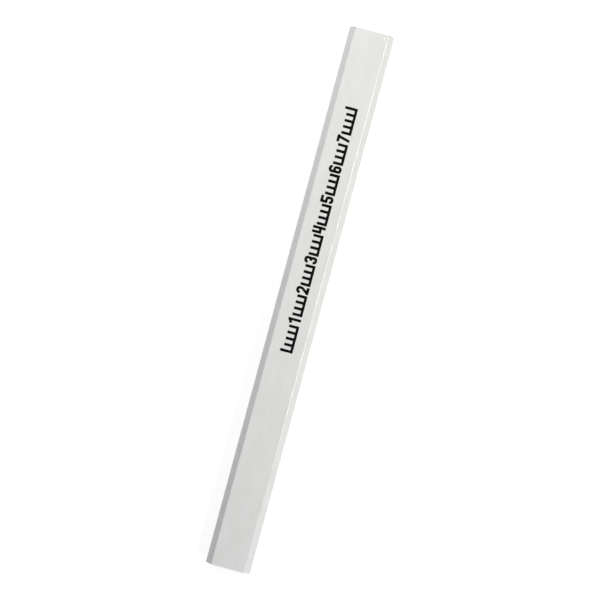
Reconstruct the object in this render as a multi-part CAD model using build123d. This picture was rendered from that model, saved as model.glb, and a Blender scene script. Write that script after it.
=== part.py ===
from build123d import *

import os
from math import sqrt

# A flat carpenter pencil: an unsharpened blank with an eight-sided section.
#
# Two grooved wooden slats are glued face to face round a flat strip of lead. The glued blank is milled to an
# octagon with two broad faces, two narrow sides and four 45 degree bevels. The long faces carry an undercoat
# and a thicker enamel coat. Both ends are cut square through the lacquer, so they show bare wood, glue and
# lead. A plain measuring scale is printed in black ink on one broad face.
#
# Frame: +X runs along the pencil to the printed end, +Y across it, and +Z out of the printed broad face. The
# origin is the centre of the lower broad face, on which the pencil rests.

# ---- driving dimensions, millimetres ----

LENGTH = 177.8  # a 7 inch blank
WIDTH = 14.6  # between the narrow sides, over the lacquer
THICKNESS = 7.0  # between the broad faces, over the lacquer
BEVEL = 1.85  # run and drop of each bevel, over the lacquer
ENAMEL_EDGE_RADIUS = 0.50  # wet enamel draws back into a round along the eight long edges
UNDERCOAT_EDGE_RADIUS = 0.30

ENAMEL = 0.10  # coat thickness
UNDERCOAT = 0.06
GLUE = 0.06  # film between the slats, and between lead and groove

LEAD_WIDTH = 5.0
LEAD_THICKNESS = 2.0
LEAD_CORNER_RADIUS = 0.30

# ---- printed scale ----

INK = 0.02  # ink film thickness
SCALE_START = -16.8  # X of the zero mark
SCALE_CM = 8
SCALE_HEIGHT = 4.15  # height of the digits and of the two end marks, centred on the broad face
MARK_STEP = 2  # a mark every 2 mm
MARK_WIDTH = 0.90
MARK_HEIGHT = 3.3
BASE_LINE = 0.85
DIGIT_WIDTH = 2.3
DIGIT_STROKE = 0.88
DIGIT_BEND = 0.55  # radius of the stroke's centre line at a digit's round corners

# ---- sizes worked out from the ones above ----

MID_Z = THICKNESS / 2
LACQUER = ENAMEL + UNDERCOAT
GROOVE_WIDTH = LEAD_WIDTH + 2 * GLUE
GROOVE_THICKNESS = LEAD_THICKNESS + 2 * GLUE
BOND_WIDTH = WIDTH / 2 - LACQUER - GROOVE_WIDTH / 2  # each glued strip beside the groove


# ---- sections, drawn in Y and Z about the middle of the blank ----


def octagon(inset, edge_radius=0.0):
    """The blank's section, inset evenly from the lacquered outside."""
    half_width = WIDTH / 2 - inset
    half_thickness = THICKNESS / 2 - inset
    bevel = BEVEL - inset * (2 - sqrt(2))
    quarter = [(half_width, half_thickness - bevel), (half_width - bevel, half_thickness)]
    corners = []
    for y_sign, z_sign in ((1, 1), (-1, 1), (-1, -1), (1, -1)):
        pair = [(y_sign * y, z_sign * z) for y, z in quarter]
        corners += pair if y_sign == z_sign else pair[::-1]
    section = make_face(Polyline(*corners, close=True))
    if edge_radius:
        section = fillet(section.vertices(), edge_radius)
    return section


def along_blank(section):
    """Extrudes a Y-Z section over the whole length of the blank."""
    return extrude(Plane.YZ * Pos(0, MID_Z) * section, LENGTH / 2, both=True)


# ---- casing and core ----


def slat(side):
    """One half of the wooden casing, with its half of the groove. side is 1 for the upper slat."""
    parting = side * (GLUE / 2 + THICKNESS / 2)
    half_plane = Pos(0, parting) * Rectangle(WIDTH, THICKNESS)
    groove = Rectangle(GROOVE_WIDTH, GROOVE_THICKNESS)
    return along_blank(octagon(LACQUER) & half_plane - groove)


def lead_section():
    return RectangleRounded(LEAD_WIDTH, LEAD_THICKNESS, LEAD_CORNER_RADIUS)


def lead_core():
    """The flat strip of graphite and clay."""
    return along_blank(lead_section())


def lead_bed_glue():
    """The glue that lines the groove and fills its corners round the lead."""
    return along_blank(Rectangle(GROOVE_WIDTH, GROOVE_THICKNESS) - lead_section())


def seam_glue():
    """The two glued strips, one each side of the groove, that hold the slats together."""
    centre = GROOVE_WIDTH / 2 + BOND_WIDTH / 2
    strips = [along_blank(Pos(side * centre, 0) * Rectangle(BOND_WIDTH, GLUE)) for side in (-1, 1)]
    return Compound(children=strips)


# ---- lacquer ----


def undercoat():
    """The filler coat, straight on the milled wood."""
    return along_blank(octagon(ENAMEL, UNDERCOAT_EDGE_RADIUS) - octagon(LACQUER))


def enamel_coat():
    """The white gloss coat."""
    return along_blank(octagon(0, ENAMEL_EDGE_RADIUS) - octagon(ENAMEL, UNDERCOAT_EDGE_RADIUS))


# ---- printed scale, drawn in X and Y ----


def comb(first_mm, last_mm):
    """Marks at even millimetres between two digits, joined by a base line."""
    foot = -SCALE_HEIGHT / 2
    middle = SCALE_START + (first_mm + last_mm) / 2
    marks = Pos(middle, foot + BASE_LINE / 2) * Rectangle(last_mm - first_mm, BASE_LINE)
    for step in range(first_mm, last_mm + 1, MARK_STEP):
        height = MARK_HEIGHT if step % 10 else SCALE_HEIGHT
        marks += Pos(SCALE_START + step, foot + height / 2) * Rectangle(MARK_WIDTH, height)
    return marks


def straight(*points):
    """A pen stroke with square corners, in a digit's own coordinates."""
    return trace(Polyline(*points), DIGIT_STROKE)


def curved(*points):
    """A pen stroke with round corners."""
    return trace(FilletPolyline(*points, radius=DIGIT_BEND), DIGIT_STROKE)


def closed_loop(half_width, low, high):
    """A pen stroke all round an upright rectangle, with round corners."""
    outside = RectangleRounded(
        2 * half_width + DIGIT_STROKE, high - low + DIGIT_STROKE, DIGIT_BEND + DIGIT_STROKE / 2
    )
    inside = RectangleRounded(
        2 * half_width - DIGIT_STROKE, high - low - DIGIT_STROKE, DIGIT_BEND - DIGIT_STROKE / 2
    )
    return Pos(0, (low + high) / 2) * (outside - inside)


def arm(side, top):
    """The upper or lower half of a 3."""
    return curved((-side, 0.5 * top), (-side, top), (side, top), (side, 0), (-0.3 * side, 0))


def digit(number):
    """A condensed block digit from 1 to 7, drawn with a pen of one width and centred on its own origin."""
    side = (DIGIT_WIDTH - DIGIT_STROKE) / 2  # the pen's path along the digit's left and right
    top = (SCALE_HEIGHT - DIGIT_STROKE) / 2  # and along its top and foot
    edge, end = DIGIT_WIDTH / 2, SCALE_HEIGHT / 2  # where the ink ends
    if number == 1:
        post = straight((0.4 * side, -end), (0.4 * side, end))
        return post + straight((0.4 * side, 0.90 * top), (-0.85 * edge, 0.60 * top))
    if number == 2:
        arch = curved((-side, 0.45 * top), (-side, top), (side, top), (side, 0.2 * top), (-side, -top))
        return arch + straight((-edge, -top), (edge, -top))
    if number == 3:
        return arm(side, top) + arm(side, -top)
    if number == 4:
        stem = straight((-side, end), (-side, -0.3 * top), (edge, -0.3 * top))
        return stem + straight((side, end), (side, -end))
    if number == 5:
        waist = 0.1 * top
        bowl = curved((-side, waist), (side, waist), (side, -top), (-side, -top), (-side, -0.5 * top))
        return bowl + straight((edge, top), (-side, top), (-side, waist - DIGIT_STROKE / 2))
    if number == 6:
        hook = curved((-side, -0.5 * top), (-side, top), (side, top), (side, 0.62 * top))
        return hook + closed_loop(side, -top, 0.1 * top)
    foot = -0.7 * edge
    corners = (edge - DIGIT_STROKE, end), (edge, end), (foot + DIGIT_STROKE, -end), (foot, -end)
    return straight((-edge, top), (edge, top)) + make_face(Polyline(*corners, close=True))


def imprint():
    """The printed scale: a digit at each whole centimetre but the first and last, with combs between them."""
    last = 10 * SCALE_CM
    faces = []
    for start in range(0, last, 10):
        after_digit = start + MARK_STEP if start else 0
        before_digit = start + 10 - MARK_STEP if start + 10 < last else last
        faces.append(comb(after_digit, before_digit))
        if start:
            faces.append(Pos(SCALE_START + start, 0) * digit(start // 10))
    return Compound(children=[extrude(Pos(0, 0, THICKNESS) * face, INK) for face in faces])


# ---- one STEP file for each piece ----

PIECES = {
    "slat_upper": slat(1),
    "slat_lower": slat(-1),
    "lead_core": lead_core(),
    "lead_bed_glue": lead_bed_glue(),
    "seam_glue": seam_glue(),
    "undercoat": undercoat(),
    "enamel_coat": enamel_coat(),
    "imprint": imprint(),
}

os.makedirs("parts", exist_ok=True)
for name, piece in PIECES.items():
    export_step(piece, f"parts/{name}.step")
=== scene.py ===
import math
from collections import Counter
from functools import partial

import bmesh
import bpy
import numpy as np
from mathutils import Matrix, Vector


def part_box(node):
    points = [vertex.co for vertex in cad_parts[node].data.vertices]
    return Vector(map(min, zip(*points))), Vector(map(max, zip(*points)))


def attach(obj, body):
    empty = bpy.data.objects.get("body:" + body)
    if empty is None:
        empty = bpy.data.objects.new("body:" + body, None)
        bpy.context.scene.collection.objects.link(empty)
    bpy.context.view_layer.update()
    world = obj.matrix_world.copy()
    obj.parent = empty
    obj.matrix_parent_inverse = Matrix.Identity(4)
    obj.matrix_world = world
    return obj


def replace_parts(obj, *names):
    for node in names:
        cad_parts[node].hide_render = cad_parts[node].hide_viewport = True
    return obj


# A flat carpenter pencil: white lacquer over two wooden slats, glued round a flat lead, with a printed scale.
#
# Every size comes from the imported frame. +X runs along the pencil to the printed end, +Z out of the printed
# face. Lengths are metres; MM turns a length in millimetres into one.

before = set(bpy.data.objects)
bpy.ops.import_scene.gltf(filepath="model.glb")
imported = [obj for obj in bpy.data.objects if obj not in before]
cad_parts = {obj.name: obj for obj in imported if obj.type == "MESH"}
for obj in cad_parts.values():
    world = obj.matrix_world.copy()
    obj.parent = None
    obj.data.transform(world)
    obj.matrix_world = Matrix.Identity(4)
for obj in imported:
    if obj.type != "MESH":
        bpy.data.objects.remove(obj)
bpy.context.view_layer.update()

MM = 0.001
TOUCH = 0.001 * MM  # closer than this is the same place
SKIN = 0.1 * MM  # a point within this of a flat face belongs to it
PLUS_END = 1  # the printed end
MINUS_END = -1  # the plain end
ENDS = (PLUS_END, MINUS_END)
SHARP_DEG = 35  # corners above this angle are shaded sharp

# ---- sizes from the frame ----

lacquer_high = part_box("enamel_coat")[1]
undercoat_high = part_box("undercoat")[1]
wood_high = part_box("slat_upper")[1]
lead_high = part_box("lead_core")[1]
groove_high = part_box("lead_bed_glue")[1]
ink_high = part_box("imprint")[1]

HALF_LENGTH = lacquer_high.x
HALF_WIDTH = lacquer_high.y
MID_Z = lacquer_high.z / 2
HALF_THICKNESS = MID_Z
ENAMEL = HALF_WIDTH - undercoat_high.y
LACQUER = HALF_WIDTH - wood_high.y
SLAT_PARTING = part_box("slat_upper")[0].z - MID_Z  # from the middle of the blank to either slat
INK = ink_high.z - lacquer_high.z


def wood_bevel():
    """How far each bevel runs in from the wood's narrow side."""
    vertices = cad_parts["slat_upper"].data.vertices
    flat_half_width = max(abs(v.co.y) for v in vertices if v.co.z > wood_high.z - TOUCH)
    return wood_high.y - flat_half_width


def bevel_at(inset):
    """The bevel's run on the octagon that lies inset from the lacquered outside."""
    return wood_bevel() + (LACQUER - inset) * (2 - math.sqrt(2))


# ---- mesh helpers ----


def finished_object(name, bm):
    """An object made of a bmesh, which is freed. It is shaded smooth, with its corners kept sharp."""
    bmesh.ops.recalc_face_normals(bm, faces=bm.faces)
    mesh = bpy.data.meshes.new(name)
    bm.to_mesh(mesh)
    bm.free()
    mesh.shade_smooth()
    mesh.set_sharp_from_angle(angle=math.radians(SHARP_DEG))
    piece = bpy.data.objects.new(name, mesh)
    bpy.context.scene.collection.objects.link(piece)
    return piece


def mesh_object(name, vertices, faces):
    """An object made of a list of vertices and a list of faces."""
    draft = bpy.data.meshes.new(name + "_draft")
    draft.from_pydata([tuple(v) for v in vertices], [], faces)
    bm = bmesh.new()
    bm.from_mesh(draft)
    bpy.data.meshes.remove(draft)
    return finished_object(name, bm)


def waves(seed, count, shortest, longest):
    """Seeded plane waves, as (wave vectors, phases). shortest and longest are wavelengths on X, Y and Z."""
    rng = np.random.default_rng(seed)
    span = rng.uniform(shortest, longest, (count, 3))
    turn = rng.choice([-1, 1], (count, 3))
    return 2 * np.pi * turn / span, rng.uniform(0, 2 * np.pi, count)


def wavy(points, wave_set):
    """A smooth random field at each point, mostly between -1 and 1."""
    vectors, phases = wave_set
    return np.sin(np.asarray(points) @ vectors.T + phases).sum(axis=-1) / math.sqrt(len(phases))


# ---- the octagonal section ----

ARC_STEPS = 6  # mesh steps round an edge
BEVEL_STEPS = 36
BROAD_STEPS = 150
SIDE_STEPS = 16
FLAT_STEPS = (BEVEL_STEPS, BROAD_STEPS, BEVEL_STEPS, SIDE_STEPS)  # on the flats, in their order round it


def section(inset, radius):
    """Points and outward normals round the octagon, counter-clockwise in Y and Z about its middle."""
    half_width = HALF_WIDTH - inset
    half_thickness = HALF_THICKNESS - inset
    bevel = bevel_at(inset)
    quarter = [(half_width, half_thickness - bevel), (half_width - bevel, half_thickness)]
    corners = quarter + [(-y, z) for y, z in reversed(quarter)]
    corners += [(-y, -z) for y, z in corners]
    arcs = []
    for index, corner in enumerate(corners):
        angles = np.radians(45 * index + np.linspace(0, 45, ARC_STEPS + 1))
        normals = np.stack([np.cos(angles), np.sin(angles)], axis=1)
        reach = normals[0] + normals[-1]
        centre = np.array(corner) - radius * reach / (1 + normals[0] @ normals[-1])
        arcs.append((centre + radius * normals, normals))
    points, normals = [], []
    for index, (arc, arc_normals) in enumerate(arcs):
        points += list(arc)
        normals += list(arc_normals)
        next_start = arcs[(index + 1) % 8][0][0]
        steps = FLAT_STEPS[index % 4]
        for share in np.arange(1, steps) / steps:
            points.append(arc[-1] + (next_start - arc[-1]) * share)
            normals.append(arc_normals[-1])
    return np.array(points), np.array(normals)


# ---- lacquer: its faint waviness, and its broken rim at each cut end ----

SAG = 0.010 * MM  # how far the lacquer's waves dip below the CAD surface
FULL_WAVE = 1.6  # value of the random field that counts as a whole wave
SEAM_DIP = 0.012 * MM  # the casing's glue line shows faintly through the lacquer on the narrow sides
SEAM_REACH = 0.16 * MM
LACQUER_WAVES = waves(3, 9, (11 * MM, 7 * MM, 5 * MM), (46 * MM, 19 * MM, 12 * MM))

# Small nicks in the lacquer near the ends: short steps that face -Y, with a low lip on one side and a hollow
# on the other. (end, distance in from it, y, half-length, half-width of the step), in millimetres.
NICKS = [
    (PLUS_END, 1.55, -4.38, 0.95, 0.13),
    (PLUS_END, 0.95, 0.25, 0.50, 0.12),
    (MINUS_END, 1.85, -5.00, 0.45, 0.12),
]
NICK_SLOPE = math.tan(math.radians(19.5))
# A nick's section: places across it, in half-widths, and the share of its height there
NICK_PROFILE = ((-2.2, -1, 1, 2.2), (0, -1, 1, 0))
NICK_FADE = 1.5  # how sharply it ends

# Chips in the lacquer's rim: (end, direction from the section's middle in degrees, half-width and depth in
# millimetres).
CHIPS = [
    (PLUS_END, 24.5, 0.85, 0.52),
    (PLUS_END, 29.5, 0.40, 0.34),
    (PLUS_END, 152.0, 0.62, 0.44),
    (PLUS_END, 147.5, 0.40, 0.30),
    (PLUS_END, 74.0, 0.40, 0.10),
    (PLUS_END, 216.0, 0.60, 0.22),
    (PLUS_END, 325.0, 0.35, 0.15),
    (MINUS_END, 22.0, 1.30, 0.13),
    (MINUS_END, 147.0, 0.35, 0.12),
    (MINUS_END, 196.0, 0.50, 0.26),
    (MINUS_END, 334.0, 0.70, 0.30),
]
RIM_BREAK = 0.035 * MM  # ordinary raggedness of the cut rim
RIM_FADE = 1.6 * MM  # the mesh rings behind a chip crowd together over this length
CHIP_WAVES = waves(13, 20, (9 * MM, 0.22 * MM, 0.22 * MM), (20 * MM, 0.9 * MM, 0.9 * MM))
CHIP_JAG = 0.22  # share by which a chip's depth varies
CHIP_SWAY = 0.25  # share by which its width varies
CHIP_HOLLOW = 1.6  # a higher power makes a chip's floor flatter
CHIP_WALL = 0.7  # a lower power makes its walls steeper
RIM_WAVES = {
    PLUS_END: waves(11, 14, (9 * MM, 0.5 * MM, 0.5 * MM), (20 * MM, 2.6 * MM, 2.6 * MM)),
    MINUS_END: waves(12, 14, (9 * MM, 0.5 * MM, 0.5 * MM), (20 * MM, 2.6 * MM, 2.6 * MM)),
}


def lacquer_height(places):
    """How far the lacquered surface stands above the CAD surface, at places in the row frame."""
    places = np.asarray(places)
    x, y, z = places[:, 0], places[:, 1], places[:, 2]
    height = -SAG * (0.5 - 0.5 * np.clip(wavy(places, LACQUER_WAVES) / FULL_WAVE, -1, 1))
    on_side = np.abs(y) > HALF_WIDTH - SKIN
    height -= np.where(on_side, SEAM_DIP * np.exp(-(((z - MID_Z) / SEAM_REACH) ** 2)), 0)
    on_printed_face = z > lacquer_high.z - SKIN
    for end, inwards, nick_y, half_length, half_width in NICKS:
        along = (x - end * (HALF_LENGTH - inwards * MM)) / (half_length * MM)
        across = (y - nick_y * MM) / (half_width * MM)
        step = np.interp(across, *NICK_PROFILE) * np.clip(NICK_FADE * (1 - along**2), 0, 1)
        height += np.where(on_printed_face, NICK_SLOPE * half_width * MM * step, 0)
    return height


def rim_pull(points, end):
    """How far the lacquer's outer rim is broken back from the cut, at each point of its section."""
    flat = np.column_stack([np.zeros(len(points)), points])
    noise = wavy(flat, RIM_WAVES[end])
    jagged = wavy(flat, CHIP_WAVES)
    pull = RIM_BREAK * np.clip(0.55 + 0.45 * noise, 0.1, 1)
    directions = np.arctan2(points[:, 1], points[:, 0])
    for chip_end, direction_deg, half_width, depth in CHIPS:
        if chip_end != end:
            continue
        turn = np.angle(np.exp(1j * (directions - math.radians(direction_deg))))
        centre = points[np.argmin(np.abs(turn))]
        away = np.linalg.norm(points - centre, axis=1) / (half_width * MM) * (1 + CHIP_SWAY * noise)
        bite = np.clip(1 - away**CHIP_HOLLOW, 0, None) ** CHIP_WALL * (1 + CHIP_JAG * jagged)
        pull = np.maximum(pull, depth * MM * bite)
    return pull


RING_STEP = 0.05 * MM  # between the first two mesh rings at a cut
RING_GROWTH = 1.12  # each next step is this much longer, up to the coarse one
ENAMEL_COARSE = 1.6 * MM
UNDERCOAT_COARSE = 6 * MM


def ring_depths(coarse):
    """Distances in from one end for the mesh rings: close at the cut, widening to coarse in the middle."""
    depths, step = [0.0], RING_STEP
    while depths[-1] < HALF_LENGTH - coarse:
        depths.append(depths[-1] + step)
        step = min(step * RING_GROWTH, coarse)
    return np.array(depths) * (HALF_LENGTH - coarse / 2) / depths[-1]


def shell(name, outer, inner, outer_pull, inner_pull, coarse, height):
    """A thin coat: an outer skin, an inner skin, and a rim at each end that joins them.

    outer and inner are sections. outer_pull and inner_pull give, for each end, how far that skin's edge is
    broken back from the cut. height moves the outer skin's points outwards."""
    points, normals = outer
    count = len(points)
    outward = np.column_stack([np.zeros(count), normals])
    depths = ring_depths(coarse)
    rings = []
    for end in (MINUS_END, PLUS_END):
        for depth in depths if end == MINUS_END else depths[::-1]:
            fade = max(0.0, 1 - depth / RIM_FADE) ** 2
            x = end * (HALF_LENGTH - depth - outer_pull[end] * fade)
            places = np.column_stack([x, points[:, 0], points[:, 1] + MID_Z])
            rings.append(places + outward * height(places)[:, None])
    for end in ENDS:
        x = end * (HALF_LENGTH - inner_pull[end])
        rings.append(np.column_stack([x, inner[0][:, 0], inner[0][:, 1] + MID_Z]))
    faces = []
    for ring in range(len(rings)):
        here, there = ring * count, (ring + 1) % len(rings) * count
        for spot in range(count):
            beside = (spot + 1) % count
            faces.append((here + spot, here + beside, there + beside, there + spot))
    return mesh_object(name, np.concatenate(rings), faces)


ENAMEL_RADIUS = 0.50 * MM
UNDERCOAT_RADIUS = 0.30 * MM
WOOD_RADIUS = 0.02 * MM
ENAMEL_RIM_SLOPE = 0.62  # the broken rim slopes back: its inner edge is pulled this share of its outer edge
UNDERCOAT_RIM_SLOPE = 0.5


def no_height(places):
    """The undercoat keeps to the CAD surface."""
    return np.zeros(len(places))


def lacquer_pieces():
    """The enamel and the undercoat, each a closed shell."""
    outside = section(0, ENAMEL_RADIUS)
    between = section(ENAMEL, UNDERCOAT_RADIUS)
    inside = section(LACQUER, WOOD_RADIUS)
    outer_pull = {end: rim_pull(outside[0], end) for end in ENDS}
    middle_pull = {end: ENAMEL_RIM_SLOPE * outer_pull[end] for end in ENDS}
    inner_pull = {end: UNDERCOAT_RIM_SLOPE * middle_pull[end] for end in ENDS}
    enamel = shell("enamel_shell", outside, between, outer_pull, middle_pull, ENAMEL_COARSE, lacquer_height)
    undercoat = shell(
        "undercoat_shell", between, inside, middle_pull, inner_pull, UNDERCOAT_COARSE, no_height
    )
    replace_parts(enamel, "enamel_coat")
    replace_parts(undercoat, "undercoat")
    return enamel, undercoat


# ---- sawn ends: blade marks across wood and lead, and the wood's growth rings ----

BLADE_CENTRE = (34 * MM, -52 * MM)  # Y and Z of the saw's axis from the section's middle
BLADE_PITCHES = (0.29 * MM, 0.47 * MM, 1.13 * MM)
BLADE_MARK = 0.011 * MM
RING_PITCH = 1.75 * MM  # one year's growth
RING_RELIEF = 0.010 * MM  # early wood wears back further than late wood
WOOD_RECESS = 0.020 * MM
WOOD_GRAIN = waves(21, 24, (4 * MM, 0.22 * MM, 0.22 * MM), (9 * MM, 0.9 * MM, 0.9 * MM))
GRAIN_RELIEF = 0.008 * MM
PITH = {1: (-9 * MM, 30 * MM), -1: (13 * MM, 24 * MM)}  # Y and Z of each slat's pith, from the middle


def blade_marks(y, z):
    """How far the saw cut in beyond the cut's plane. Its teeth left arcs round the blade's axis."""
    reach = np.hypot(y - BLADE_CENTRE[0], z - BLADE_CENTRE[1])
    waves_sum = sum(np.sin(2 * np.pi * reach / pitch) for pitch in BLADE_PITCHES)
    return BLADE_MARK * (1 + waves_sum / len(BLADE_PITCHES))


def wood_recess(side, y, z, end):
    """How far a slat's sawn end lies in from the cut, at Y and Z from the section's middle."""
    pith_y, pith_z = PITH[side]
    growth = np.hypot(y - pith_y, z - side * pith_z) / RING_PITCH
    early = 0.5 + 0.5 * np.cos(2 * np.pi * growth)
    grain = wavy(np.stack([np.full_like(y, end * HALF_LENGTH), y, z], axis=-1), WOOD_GRAIN)
    return WOOD_RECESS + blade_marks(y, z) + RING_RELIEF * early + GRAIN_RELIEF * (1 + np.clip(grain, -1, 1))


def spaced(stops, pitch):
    """Values that run through every stop, at most pitch apart."""
    values = [stops[0]]
    for start, stop in zip(stops, stops[1:]):
        steps = max(1, math.ceil((stop - start) / pitch))
        values += [start + (stop - start) * step / steps for step in range(1, steps + 1)]
    return np.array(values)


END_PITCH = 0.12 * MM  # mesh spacing over a sawn end


def slat_piece(side):
    """Half of the wooden casing, with sawn and grained ends. side is 1 for the upper slat."""
    half_width = wood_high.y
    flat_half_width = half_width - wood_bevel()
    half_groove = groove_high.y
    groove_z = groove_high.z - MID_Z
    top = wood_high.z - MID_Z
    stops = [half_groove, flat_half_width, half_width]
    columns = spaced([-stop for stop in reversed(stops)] + stops, END_PITCH)
    lower_rows = spaced([SLAT_PARTING, groove_z], END_PITCH)
    upper_shares = spaced([0.0, 1.0], END_PITCH / (top - groove_z))
    rows = len(lower_rows) + len(upper_shares) - 1
    y = np.repeat(columns[:, None], rows, axis=1)
    ceiling = top - np.clip(np.abs(columns) - flat_half_width, 0, None)
    upper_rows = groove_z + (ceiling[:, None] - groove_z) * upper_shares[None, 1:]
    z = np.concatenate([np.repeat(lower_rows[None], len(columns), axis=0), upper_rows], axis=1) * side
    cells = []
    for column in range(len(columns) - 1):
        over_groove = abs(columns[column] + columns[column + 1]) / 2 < half_groove
        for row in range(len(lower_rows) - 1 if over_groove else 0, rows - 1):
            first = column * rows + row
            cells.append((first, first + rows, first + rows + 1, first + 1))
    name = "slat_upper_wood" if side > 0 else "slat_lower_wood"
    return prism(name, y.ravel(), z.ravel(), cells, partial(wood_recess, side))


def prism(name, y, z, cells, recess):
    """A long piece whose ends are the same grid of cells in Y and Z, set in from the cut by recess."""
    count = len(y)
    vertices, faces = [], []
    for end in (MINUS_END, PLUS_END):
        x = end * (HALF_LENGTH - recess(y, z, end))
        vertices.append(np.column_stack([x, y, z + MID_Z]))
        faces += [tuple(corner + (count if end > 0 else 0) for corner in cell) for cell in cells]
    edges = Counter()
    for cell in cells:
        for start, stop in zip(cell, cell[1:] + cell[:1]):
            edges[(start, stop)] += 1
    for start, stop in edges:
        if (stop, start) not in edges:
            faces.append((start, stop, stop + count, start + count))
    vertices = np.concatenate(vertices)
    used = sorted({corner for face in faces for corner in face})
    renumbered = {old: new for new, old in enumerate(used)}
    return mesh_object(name, vertices[used], [tuple(renumbered[c] for c in face) for face in faces])


LEAD_RADIUS = 0.30 * MM
LEAD_RECESS = 0.006 * MM
LEAD_RINGS = 14
LEAD_MIDDLE = 0.06  # size of the innermost ring, as a share of the outline


def lead_outline():
    """Points round the lead's rounded rectangle, in Y and Z from the section's middle."""
    half_width, half_height = lead_high.y, lead_high.z - MID_Z
    points = []
    for corner, (y_sign, z_sign) in enumerate([(1, 1), (-1, 1), (-1, -1), (1, -1)]):
        centre_y = y_sign * (half_width - LEAD_RADIUS)
        centre_z = z_sign * (half_height - LEAD_RADIUS)
        for step in range(ARC_STEPS + 1):
            angle = math.radians(90 * (corner + step / ARC_STEPS))
            across, up = LEAD_RADIUS * math.cos(angle), LEAD_RADIUS * math.sin(angle)
            points.append((centre_y + across, centre_z + up))
    closed = np.array(points + points[:1])
    dense = []
    for start, stop in zip(closed, closed[1:]):
        steps = max(1, round(math.dist(start, stop) / END_PITCH))
        dense += [start + (stop - start) * step / steps for step in range(steps)]
    return np.array(dense)


LEAD_WAVES = waves(31, 18, (5 * MM, 0.25 * MM, 0.25 * MM), (9 * MM, 1.1 * MM, 0.8 * MM))
LEAD_EDGE_BREAK = 0.05 * MM
LEAD_EDGE_REACH = 0.10 * MM


def lead_recess(y, z, end):
    """How far the lead's sawn end lies in from the cut: blade marks, and crumbled edges."""
    half_width, half_height = lead_high.y, lead_high.z - MID_Z
    edge = np.minimum(half_width - np.abs(y), half_height - np.abs(z))
    noise = wavy(np.stack([np.full_like(y, end * HALF_LENGTH), y, z], axis=-1), LEAD_WAVES)
    crumble = LEAD_EDGE_BREAK * np.clip(0.5 + 0.5 * noise, 0, 1) * np.exp(-edge / LEAD_EDGE_REACH)
    return LEAD_RECESS + blade_marks(y, z) + crumble


def lead_piece():
    """The flat lead. Its ends are rings of cells round a middle cell."""
    outline = lead_outline()
    count = len(outline)
    half_height = lead_high.z - MID_Z
    rings = []
    for share in np.linspace(1, LEAD_MIDDLE, LEAD_RINGS):
        inset = (1 - share) * half_height
        shrink = np.array([(lead_high.y - inset) / lead_high.y, share])
        rings.append(outline * shrink)
    points = np.concatenate(rings)
    cells = []
    for ring in range(LEAD_RINGS - 1):
        for spot in range(count):
            beside = (spot + 1) % count
            here, there = ring * count, (ring + 1) * count
            cells.append((here + spot, here + beside, there + beside, there + spot))
    cells.append(tuple((LEAD_RINGS - 1) * count + spot for spot in range(count)))
    piece = prism("lead_strip", points[:, 0], points[:, 1], cells, lead_recess)
    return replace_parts(piece, "lead_core")


# ---- printed scale ----

INK_STEP = 0.09 * MM  # spacing of points along the print's outline
INK_BLEED = 0.009 * MM  # how far its edge wanders
INK_ROUNDING = 2  # smoothing passes that take the points off its corners
INK_BED = 0.004 * MM  # how far the ink keys into the lacquer
INK_WAVES = waves(41, 26, (0.25 * MM, 0.25 * MM, 1), (1.3 * MM, 1.3 * MM, 2))


def flat_print():
    """The CAD print's upper faces alone, with an outline of evenly spaced points."""
    bm = bmesh.new()
    bm.from_mesh(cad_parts["imprint"].data)
    bmesh.ops.remove_doubles(bm, verts=bm.verts, dist=TOUCH)
    bm.normal_update()
    other = [f for f in bm.faces if f.calc_center_median().z < ink_high.z - TOUCH]
    bmesh.ops.delete(bm, geom=other, context="FACES")
    bmesh.ops.dissolve_limit(bm, angle_limit=math.radians(1), verts=bm.verts, edges=bm.edges)
    for edge in [e for e in bm.edges if e.is_boundary]:
        cuts = round(edge.calc_length() / INK_STEP) - 1
        if cuts > 0:
            bmesh.ops.subdivide_edges(bm, edges=[edge], cuts=cuts)
    return bm


def spread_ink(bm):
    """Rounds the flat print's corners and makes its edges wander."""
    for _ in range(INK_ROUNDING):
        moved = {}
        for vertex in bm.verts:
            beside = [e.other_vert(vertex).co for e in vertex.link_edges if e.is_boundary]
            moved[vertex] = vertex.co / 2 + (beside[0] + beside[1]) / 4
        for vertex, place in moved.items():
            vertex.co = place
    places = np.array([v.co for v in bm.verts])
    bleed_x = wavy(places, INK_WAVES)
    bleed_y = wavy(places[:, [1, 0, 2]], INK_WAVES)
    for vertex, dx, dy in zip(bm.verts, bleed_x, bleed_y):
        vertex.co += Vector((dx, dy, 0)) * INK_BLEED


def print_piece():
    """The printed scale: an ink film with slightly spread, uneven edges, lying on the wavy lacquer."""
    bm = flat_print()
    spread_ink(bm)
    bmesh.ops.triangulate(bm, faces=bm.faces, ngon_method="BEAUTY")
    bm.verts.index_update()
    flat = np.array([(v.co.x, v.co.y, lacquer_high.z) for v in bm.verts])
    triangles = [tuple(v.index for v in face.verts) for face in bm.faces]
    loops = [loop for face in bm.faces for loop in face.loops if loop.edge.is_boundary]
    rim = [(loop.vert.index, loop.link_loop_next.vert.index) for loop in loops]
    bm.free()
    surface = flat + np.outer(lacquer_height(flat), (0, 0, 1))
    film = np.concatenate([surface + (0, 0, INK), surface - (0, 0, INK_BED)])
    below = len(flat)
    faces = triangles + [tuple(below + spot for spot in reversed(face)) for face in triangles]
    faces += [(there, below + there, below + here, here) for here, there in rim]
    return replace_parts(mesh_object("printed_scale", film, faces), "imprint")


# ---- materials ----


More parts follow.
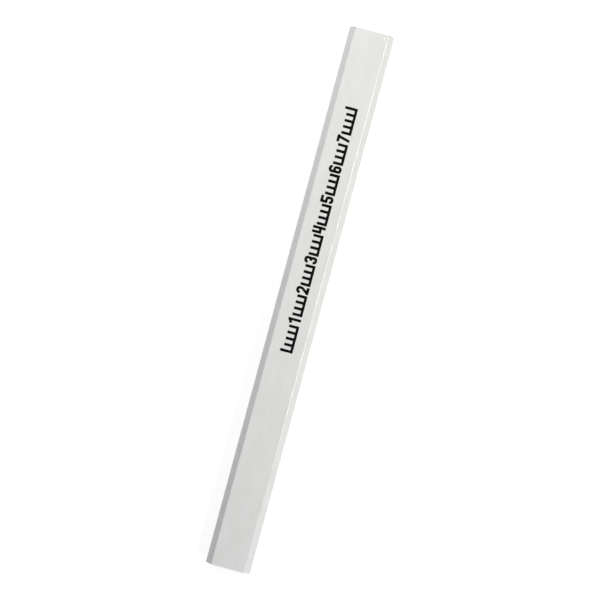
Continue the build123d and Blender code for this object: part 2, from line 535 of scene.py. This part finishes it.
class Shader:
    """One material's nodes. Patterns are placed in metres of the row frame."""

    def __init__(self, name):
        self.material = bpy.data.materials.new(name)
        self.material.use_nodes = True
        self.tree = self.material.node_tree
        self.surface = self.tree.nodes["Principled BSDF"]
        self.place = self.add("ShaderNodeTexCoord").outputs["Object"]
        self.x, self.y, self.z = self.add("ShaderNodeSeparateXYZ", {"Vector": self.place}).outputs

    def add(self, kind, inputs=None, **settings):
        """A new node. inputs are values or other nodes' outputs."""
        node = self.tree.nodes.new(kind)
        for key, value in settings.items():
            setattr(node, key, value)
        for key, value in (inputs or {}).items():
            self.feed(node.inputs[key], value)
        return node

    def feed(self, socket, value):
        if isinstance(value, bpy.types.NodeSocket):
            self.tree.links.new(value, socket)
        else:
            socket.default_value = value

    def math(self, operation, first, second=0.0, third=0.0, clamp=False):
        inputs = {0: first, 1: second, 2: third}
        return self.add("ShaderNodeMath", inputs, operation=operation, use_clamp=clamp).outputs[0]

    def stretched(self, size_x, size_y, size_z, shift=0.0):
        """Coordinates that grow by one over each size."""
        scale = (1 / size_x, 1 / size_y, 1 / size_z)
        inputs = {0: self.place, 1: scale, 2: (shift, shift * 1.7, shift * 2.3)}
        return self.add("ShaderNodeVectorMath", inputs, operation="MULTIPLY_ADD").outputs[0]

    def noise(self, sizes, detail=2.0, roughness=0.5, shift=0.0):
        """Noise whose patches measure sizes along X, Y and Z."""
        place = self.stretched(*sizes, shift)
        inputs = {"Vector": place, "Scale": 1.0, "Detail": detail, "Roughness": roughness}
        return self.add("ShaderNodeTexNoise", inputs).outputs[0]

    def cells(self, sizes):
        """The distance to the nearest of many random points, which lie about sizes apart along X, Y and Z."""
        inputs = {"Vector": self.stretched(*sizes), "Scale": 1.0}
        return self.add("ShaderNodeTexVoronoi", inputs).outputs["Distance"]

    def ramp(self, value, low, high, to_low=0.0, to_high=1.0):
        """A smooth step from to_low to to_high, as value goes from low to high."""
        inputs = {"Value": value, "From Min": low, "From Max": high, "To Min": to_low, "To Max": to_high}
        return self.add("ShaderNodeMapRange", inputs, interpolation_type="SMOOTHSTEP").outputs[0]

    def mix(self, share, first, second):
        """The first colour, with this share of the second."""
        node = self.add("ShaderNodeMix", data_type="RGBA")
        self.feed(node.inputs[0], share)
        self.feed(node.inputs[6], first)
        self.feed(node.inputs[7], second)
        return node.outputs[2]

    def bump(self, height, distance, under=None):
        inputs = {"Height": height, "Distance": distance, "Strength": 1.0}
        if under is not None:
            inputs["Normal"] = under
        return self.add("ShaderNodeBump", inputs).outputs[0]

    def set(self, **inputs):
        """Sets the surface's inputs by name, with _ for a space, and returns the finished material."""
        for key, value in inputs.items():
            self.feed(self.surface.inputs[key.replace("_", " ")], value)
        return self.material


def grey(value, warmth=0.0):
    """A near-neutral colour. Positive warmth leans it towards yellow."""
    return (value, value * (1 - warmth * 0.25), value * (1 - warmth), 1.0)


def enamel_material():
    """White gloss enamel: faint drag lines along the pencil, a fine orange peel and slight mottling."""
    s = Shader("white_enamel")
    mottle = s.noise((9 * MM, 3 * MM, 3 * MM), detail=3.0)
    drag = s.noise((38 * MM, 0.55 * MM, 0.55 * MM), detail=2.0, shift=4.0)
    peel = s.noise((1.3 * MM, 0.9 * MM, 0.9 * MM), detail=1.0, shift=9.0)
    specks = s.noise((0.7 * MM, 0.5 * MM, 0.5 * MM), detail=2.0, shift=15.0)
    colour = s.mix(s.ramp(mottle, 0.35, 0.65), grey(0.800, 0.010), grey(0.775, 0.016))
    colour = s.mix(s.ramp(specks, 0.70, 0.78, 0.0, 0.35), colour, grey(0.60, 0.12))
    rough = s.math("MULTIPLY_ADD", drag, 0.10, 0.13)
    normal = s.bump(drag, 0.0022 * MM)
    normal = s.bump(peel, 0.0030 * MM, normal)
    s.set(Coat_Weight=0.7, Coat_Roughness=0.06)
    return s.set(Base_Color=colour, Roughness=rough, Normal=normal, IOR=1.55)


def undercoat_material():
    """Matt filler: chalky, a little dirty where a cut exposes it."""
    s = Shader("filler_undercoat")
    grain = s.noise((0.25 * MM, 0.25 * MM, 0.25 * MM), detail=4.0, roughness=0.6)
    dirt = s.noise((1.1 * MM, 1.1 * MM, 1.1 * MM), detail=3.0, shift=5.0)
    colour = s.mix(s.ramp(grain, 0.3, 0.7), grey(0.52, 0.10), grey(0.40, 0.14))
    colour = s.mix(s.ramp(dirt, 0.40, 0.58, 0.0, 0.85), colour, grey(0.10, 0.25))
    return s.set(Base_Color=colour, Roughness=0.85, Normal=s.bump(grain, 0.012 * MM))


def wood_material(side):
    """Pale basswood: growth rings round the slat's pith, rays across them, and pores."""
    s = Shader("basswood_" + ("upper" if side > 0 else "lower"))
    pith_y, pith_z = PITH[side]
    wander = s.noise((60 * MM, 1.6 * MM, 1.6 * MM), detail=3.0, shift=side * 3.0)
    across = s.math("SUBTRACT", s.y, pith_y)
    up = s.math("SUBTRACT", s.z, MID_Z + side * pith_z)
    reach = s.math("SQRT", s.math("ADD", s.math("MULTIPLY", across, across), s.math("MULTIPLY", up, up)))
    years = s.math("MULTIPLY_ADD", wander, 0.55, s.math("DIVIDE", reach, RING_PITCH))
    season = s.math("FRACT", years)
    late = s.math("MULTIPLY", s.ramp(season, 0.55, 0.97), s.ramp(season, 1.0, 0.975))
    fibre = s.noise((9 * MM, 0.14 * MM, 0.14 * MM), detail=3.0, roughness=0.65, shift=7.0)
    pore = s.ramp(s.cells((30 * MM, 0.13 * MM, 0.13 * MM)), 0.32, 0.12)
    crowding = s.noise((20 * MM, 0.7 * MM, 0.7 * MM), detail=2.0, shift=17.0)
    pore = s.math("MULTIPLY", pore, s.ramp(crowding, 0.38, 0.66, 0.15, 1.0))
    angle = s.math("MULTIPLY", s.math("ARCTAN2", across, up), 150.0)
    ray_place = s.add("ShaderNodeCombineXYZ", {"X": angle, "Y": s.math("DIVIDE", reach, 3 * MM)}).outputs[0]
    rays = s.add("ShaderNodeTexNoise", {"Vector": ray_place, "Scale": 1.0, "Detail": 3.0}).outputs[0]
    colour = s.mix(s.ramp(wander, 0.3, 0.7), (0.660, 0.520, 0.350, 1), (0.740, 0.600, 0.430, 1))
    colour = s.mix(s.math("MULTIPLY", late, 0.45), colour, (0.490, 0.335, 0.195, 1))
    colour = s.mix(s.ramp(fibre, 0.35, 0.75, 0.0, 0.35), colour, (0.500, 0.350, 0.215, 1))
    colour = s.mix(s.ramp(rays, 0.58, 0.72, 0.0, 0.30), colour, (0.800, 0.670, 0.500, 1))
    colour = s.mix(s.math("MULTIPLY", pore, 0.40), colour, (0.270, 0.160, 0.085, 1))
    colour = s.mix(graphite_smear(s), colour, grey(0.075))
    # The wood is darkened almost to black at its outer edges, which show in the lacquer's chips.
    colour = s.mix(darkened_wood_rim(s), colour, grey(0.06, 0.30))
    relief = s.math("MULTIPLY_ADD", pore, -0.8, fibre)
    return s.set(Base_Color=colour, Roughness=0.82, Normal=s.bump(relief, 0.012 * MM), Specular_IOR_Level=0.3)


def graphite_smear(s):
    """Where the saw dragged graphite out of the lead and across the wood, towards -Y."""
    half_width, half_height = lead_high.y, lead_high.z - MID_Z
    from_middle = s.math("SUBTRACT", s.z, MID_Z)
    streak = s.noise((30 * MM, 2.4 * MM, 0.16 * MM), detail=3.0, roughness=0.6, shift=11.0)
    above = s.math("SUBTRACT", s.math("ABSOLUTE", from_middle), half_height)
    left = s.math("SUBTRACT", s.y, half_width)
    right = s.math("SUBTRACT", s.math("MULTIPLY", s.y, -1.0), half_width)
    near_above = s.ramp(above, 1.0 * MM, -0.05 * MM)
    near_left = s.ramp(left, 0.35 * MM, -0.05 * MM)
    near_right = s.ramp(right, 3.6 * MM, -0.2 * MM)
    near = s.math("MULTIPLY", near_above, s.math("MULTIPLY", near_left, near_right))
    return s.math("MULTIPLY", near, s.ramp(streak, 0.42, 0.68, 0.04, 0.72))


DARK_RIM_REACH = 0.10 * MM
RIM_DARKENING = 0.85  # how far it covers the wood


def darkened_wood_rim(s):
    """The wood darkened almost to black right at its edges, which shows where the lacquer has chipped away.
    """
    from_middle = s.math("ABSOLUTE", s.math("SUBTRACT", s.z, MID_Z))
    across = s.math("ABSOLUTE", s.y)
    bevel_reach = wood_high.y + wood_high.z - MID_Z - wood_bevel()  # across plus from_middle, on the bevels
    bevel_skin = s.ramp(s.math("ADD", across, from_middle), bevel_reach - DARK_RIM_REACH, bevel_reach)
    side_skin = s.ramp(across, wood_high.y - DARK_RIM_REACH, wood_high.y)
    return s.math("MULTIPLY", s.math("MAXIMUM", bevel_skin, side_skin), RIM_DARKENING)


def lead_material():
    """Baked graphite and clay: dark grey with a metallic sheen, burnished in streaks by the saw."""
    s = Shader("graphite_lead")
    grit = s.noise((0.12 * MM, 0.12 * MM, 0.12 * MM), detail=4.0, roughness=0.65)
    streak = s.noise((20 * MM, 1.8 * MM, 0.12 * MM), detail=3.0, shift=6.0)
    colour = s.mix(s.ramp(grit, 0.3, 0.7), grey(0.050), grey(0.105))
    colour = s.mix(s.ramp(streak, 0.50, 0.72, 0.0, 0.55), colour, grey(0.190))
    rough = s.ramp(streak, 0.35, 0.70, 0.52, 0.30)
    return s.set(Base_Color=colour, Roughness=rough, Metallic=0.45, Normal=s.bump(grit, 0.010 * MM))


def glue_material():
    """Dried white glue: amber, smooth, with a few bubbles."""
    s = Shader("wood_glue")
    cloud = s.noise((3 * MM, 0.5 * MM, 0.5 * MM), detail=3.0)
    bubble = s.ramp(s.cells((0.5 * MM, 0.22 * MM, 0.22 * MM)), 0.28, 0.18)
    colour = s.mix(s.ramp(cloud, 0.35, 0.65), (0.46, 0.33, 0.17, 1), (0.30, 0.20, 0.10, 1))
    colour = s.mix(s.math("MULTIPLY", bubble, 0.5), colour, (0.62, 0.52, 0.36, 1))
    return s.set(Base_Color=colour, Roughness=0.35, Normal=s.bump(bubble, -0.006 * MM))


def ink_material():
    """Black printing ink: satin, slightly mottled, with pinholes where it did not take."""
    s = Shader("black_ink")
    cloud = s.noise((1.6 * MM, 1.1 * MM, 1 * MM), detail=3.0)
    grain = s.noise((0.11 * MM, 0.11 * MM, 0.2 * MM), detail=3.0, roughness=0.6, shift=8.0)
    pinhole = s.ramp(s.noise((0.16 * MM, 0.14 * MM, 0.5 * MM), detail=1.0, shift=3.0), 0.77, 0.82)
    colour = s.mix(s.ramp(cloud, 0.3, 0.7), grey(0.0035), grey(0.0065))
    colour = s.mix(s.math("MULTIPLY", pinhole, 0.5), colour, grey(0.40))
    rough = s.math("MULTIPLY_ADD", grain, 0.22, 0.30)
    s.set(Specular_IOR_Level=0.10, Specular_Tint=grey(0.40))
    return s.set(Base_Color=colour, Roughness=rough, Normal=s.bump(grain, 0.003 * MM))


def paint(piece, material):
    """Gives a piece its only material."""
    piece.data.materials.clear()
    piece.data.materials.append(material)


# ---- studio ----

BOWL_FLAT = 0.9  # radius of the level floor
BOWL_BEND = 0.7  # radius of the bend up from it
BOWL_RISE = 1.2  # height of the wall above the bend
BOWL_STEPS = 96  # mesh steps round the floor
BOWL_BEND_STEPS = 16
BOWL_FLAT_RINGS = (0.12, 0.3, 0.6, BOWL_FLAT)
FLOOR_GAP = 0.02 * MM  # keeps the floor clear of the pencil's resting face
# The paper's own glow, near and far. Only the camera sees it, and it lights nothing.
FLOOR_WHITENESS = (0.86, 0.99)
FLOOR_FADE = (0.15, 1.0)  # distances between which it changes
CONTACT_REACH = 2.5 * MM  # painted contact shadow: close under the pencil the glow weakens, over this reach
# the share of the glow left where the painted contact shadow is darkest
CONTACT_SHADOW_GLOW = 0.30
CONTACT_OPEN = 0.50  # it is whole again where this share of the space above the paper is free
CONTACT_SAMPLES = 8
FLOOR_DEPTH = 0.26  # how strongly the camera's view of the paper still shows the light and shadow on it
PAINTED_REFLECTION_GLOW = (0.25, 0.65)  # painted reflection: how bright the floor and the wall glow in the lacquer's reflections, which light nothing
MIRRORED_RISE = (0.0, 0.12)  # heights between which the floor's value changes to the wall's
MIRRORED_FALL = (0.50, 0.90)  # and between which it dies away


def floor_mesh():
    """A level floor that bends up all round into a low wall, so that no horizon shows."""
    profile = [(radius, 0.0) for radius in BOWL_FLAT_RINGS]
    for step in range(1, BOWL_BEND_STEPS + 1):
        angle = math.radians(90 * step / BOWL_BEND_STEPS)
        profile.append((BOWL_FLAT + BOWL_BEND * math.sin(angle), BOWL_BEND * (1 - math.cos(angle))))
    profile.append((BOWL_FLAT + BOWL_BEND, BOWL_BEND + BOWL_RISE))
    vertices = [(0.0, 0.0, -FLOOR_GAP)]
    for radius, height in profile:
        for step in range(BOWL_STEPS):
            angle = 2 * math.pi * step / BOWL_STEPS
            vertices.append((radius * math.cos(angle), radius * math.sin(angle), height - FLOOR_GAP))
    faces = [(0, 1 + step, 1 + (step + 1) % BOWL_STEPS) for step in range(BOWL_STEPS)]
    for ring in range(len(profile) - 1):
        here, there = 1 + ring * BOWL_STEPS, 1 + (ring + 1) * BOWL_STEPS
        for step in range(BOWL_STEPS):
            beside = (step + 1) % BOWL_STEPS
            faces.append((here + step, there + step, there + beside, here + beside))
    return mesh_object("studio_floor", vertices, faces)


def floor_glow(s, path):
    """How strongly the paper glows: one value in the camera's view, dimmed close under the pencil as a
    painted contact shadow, and a painted reflection glow in glossy views of the floor and low wall, else
    none.
    """
    radius = s.add("ShaderNodeVectorMath", {0: s.place}, operation="LENGTH").outputs["Value"]
    occlusion = s.add("ShaderNodeAmbientOcclusion", {"Distance": CONTACT_REACH}, samples=CONTACT_SAMPLES)
    free = occlusion.outputs["AO"]
    # Painted contact shadow: the camera's glow is dimmed where the pencil closes off the space above the
    # paper.
    painted_contact_shadow = s.ramp(free, 0.0, CONTACT_OPEN, CONTACT_SHADOW_GLOW, 1.0)
    seen = s.math("MULTIPLY", s.ramp(radius, *FLOOR_FADE, *FLOOR_WHITENESS), painted_contact_shadow)
    # Painted reflection: the floor and the low wall glow only where the lacquer reflects them.
    fall = s.ramp(s.z, *MIRRORED_FALL, 1.0, 0.0)
    painted_reflection = s.math("MULTIPLY", s.ramp(s.z, *MIRRORED_RISE, *PAINTED_REFLECTION_GLOW), fall)
    painted_reflection = s.math("MULTIPLY", painted_reflection, path.outputs["Is Glossy Ray"])
    return s.math("MULTIPLY_ADD", path.outputs["Is Camera Ray"], seen, painted_reflection)


def studio_floor():
    """The pale paper floor under and round the pencil."""
    floor = floor_mesh()
    s = Shader("studio_paper")
    fibre = s.noise((0.004, 0.004, 0.004), detail=2.0)
    path = s.add("ShaderNodeLightPath")
    colour = s.mix(path.outputs["Is Camera Ray"], s.mix(fibre, grey(0.66), grey(0.64)), grey(FLOOR_DEPTH))
    s.set(Emission_Color=grey(1.0), Emission_Strength=floor_glow(s, path))
    floor.data.materials.append(s.set(Base_Color=colour, Roughness=0.9, Specular_IOR_Level=0.1))


# Soft boxes: (name, centre, X of the point on the pencil that it faces, length, width, watts, colour). The
# length runs level, and along X where a box faces the point beside it.
SOFT_BOXES = [
    ("long_high", (0.10, -0.450, 0.536), 0.10, 0.44, 0.13, 2.92, (1.04, 1.06, 0.89)),
    ("long_end", (0.20, -0.573, 0.401), 0.20, 0.28, 0.11, 0.345, (0.94, 0.99, 1.07)),
    ("far_side", (0.355, 0.450, 0.536), 0.355, 0.42, 0.08, 0.855, (0.88, 0.87, 1.25)),
    ("near_corner", (0.28, 0.22, 0.28), 0.0, 0.20, 0.20, 0.945, (1.03, 1.02, 0.94)),
    ("back_corner", (-0.30, -0.35, 0.39), 0.0, 0.30, 0.30, 0.890, (0.93, 0.88, 1.19)),
]


def soft_box(name, centre, facing_x, length, width, watts, colour):
    """A rectangular lamp that the camera itself does not see."""
    lamp = bpy.data.lights.new(name, "AREA")
    lamp.shape = "RECTANGLE"
    lamp.size, lamp.size_y = length, width
    lamp.energy = watts
    lamp.color = colour
    holder = bpy.data.objects.new(name, lamp)
    holder.location = centre
    away = Vector(centre) - Vector((facing_x, 0, MID_Z))
    holder.rotation_euler = away.to_track_quat("Z", "Y").to_euler()
    holder.visible_camera = False
    bpy.context.scene.collection.objects.link(holder)


def studio_light():
    """The soft boxes, in a room that is dark otherwise."""
    for box in SOFT_BOXES:
        soft_box(*box)
    world = bpy.data.worlds.new("dark_room")
    world.use_nodes = True
    world.node_tree.nodes["Background"].inputs["Strength"].default_value = 0.0
    bpy.context.scene.world = world


CAMERA_HEIGHT = 0.480  # above the printed face
VIEW_WIDTH = 191.56 * MM  # what the picture spans at the printed face
LEAN_DEG = 15.088  # the pencil leans this far clockwise from upright in the picture
SENSOR = 36.0
CLIP = (0.01, 20.0)


def camera():
    """Straight down on the middle of the printed face."""
    lens = bpy.data.cameras.new("camera")
    lens.sensor_width = SENSOR
    lens.lens = SENSOR * CAMERA_HEIGHT / VIEW_WIDTH
    lens.clip_start, lens.clip_end = CLIP
    eye = bpy.data.objects.new("camera", lens)
    eye.location = (0, 0, lacquer_high.z + CAMERA_HEIGHT)
    eye.rotation_euler = (0, 0, math.radians(LEAN_DEG - 90))
    bpy.context.scene.collection.objects.link(eye)
    bpy.context.scene.camera = eye


# ---- assembly ----

enamel, undercoat = lacquer_pieces()
slat_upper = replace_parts(slat_piece(1), "slat_upper")
slat_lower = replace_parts(slat_piece(-1), "slat_lower")
lead = lead_piece()
scale = print_piece()
glue = glue_material()

paint(enamel, enamel_material())
paint(undercoat, undercoat_material())
paint(slat_upper, wood_material(1))
paint(slat_lower, wood_material(-1))
paint(lead, lead_material())
paint(scale, ink_material())
paint(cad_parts["seam_glue"], glue)
paint(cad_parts["lead_bed_glue"], glue)

for piece in (enamel, undercoat, slat_upper, slat_lower, lead, scale):
    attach(piece, "root")

studio_floor()
studio_light()
camera()
bpy.context.scene.view_settings.view_transform = "Standard"
